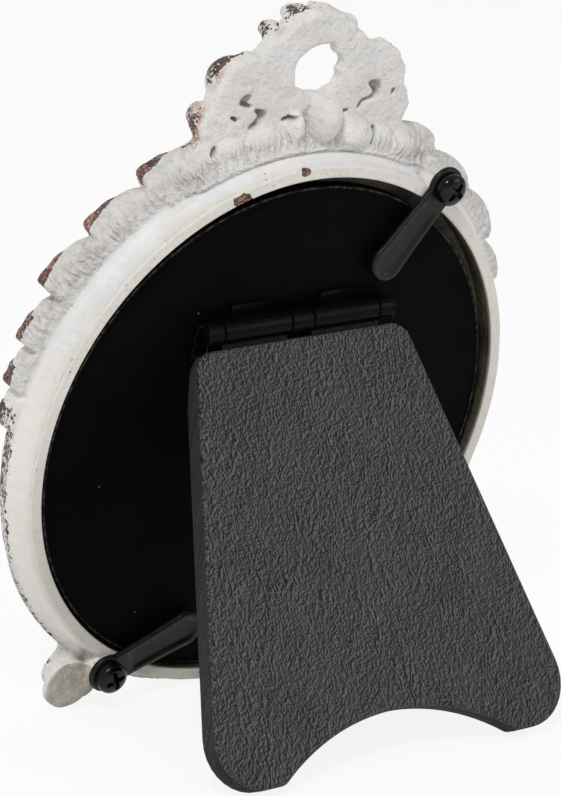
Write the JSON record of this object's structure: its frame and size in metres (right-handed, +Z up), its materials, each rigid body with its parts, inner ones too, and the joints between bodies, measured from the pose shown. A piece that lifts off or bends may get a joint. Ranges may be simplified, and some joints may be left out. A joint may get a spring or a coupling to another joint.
{
  "type": "picture frame",
  "caption": "Round table-top picture frame with a cast relief ring and pierced crest, glass, back panel with turn clips and a hinged easel leg.",
  "frame": {"origin": "on the table, under the middle of the box around the whole frame with its leg open", "axes": "+Z up, +Y towards the back and the leg, -Y towards the viewer of the picture"},
  "size_m": [0.1118, 0.0646, 0.1323],
  "materials": {
    "casting_white": "distressed off-white paint over a copper brown ground",
    "clear_glass": "clear float glass",
    "print_paper": "semi-matt print",
    "grey_card": "plain grey card",
    "panel_black": "satin black",
    "hinge_black": "gloss black",
    "pin_steel": "darkened steel wire",
    "leg_board": "dark felted board",
    "leg_facing": "charcoal fibre-grained facing",
    "clip_black": "satin black",
    "screw_black": "gloss black"
  },
  "bodies": {
    "frame": {"frame_casting": "casting_white", "glass_pane": "clear_glass", "photo_print": "print_paper", "backing_card": "grey_card", "back_panel": "panel_black", "hinge_panel_leaf": "hinge_black", "hinge_pin": "pin_steel", "panel_rivets": "hinge_black", "upper_screw": "screw_black", "lower_screw": "screw_black"},
    "leg": {"leg_core": "leg_board", "leg_facing": "leg_facing", "hinge_leg_leaf": "hinge_black", "leg_rivets": "pin_steel"},
    "upper_clip": {"upper_turn_clip": "clip_black"},
    "lower_clip": {"lower_turn_clip": "clip_black"}
  },
  "joints": [
    {"name": "leg_fold", "type": "hinge", "parent": "frame", "child": "leg", "pos_m": [0, -0.0047, 0.07372], "axis": [-1, 0, 0], "range_deg": [0, 27]},
    {"name": "upper_clip_turn", "type": "hinge", "parent": "frame", "child": "upper_clip", "pos_m": [-0.02915, -0.00073, 0.09637], "axis": [0, 0.9774, -0.2113], "range_deg": [-150, 150]},
    {"name": "lower_clip_turn", "type": "hinge", "parent": "frame", "child": "lower_clip", "pos_m": [0.02915, -0.01999, 0.00727], "axis": [0, 0.9774, -0.2113], "range_deg": [-25, 150]}
  ]
}
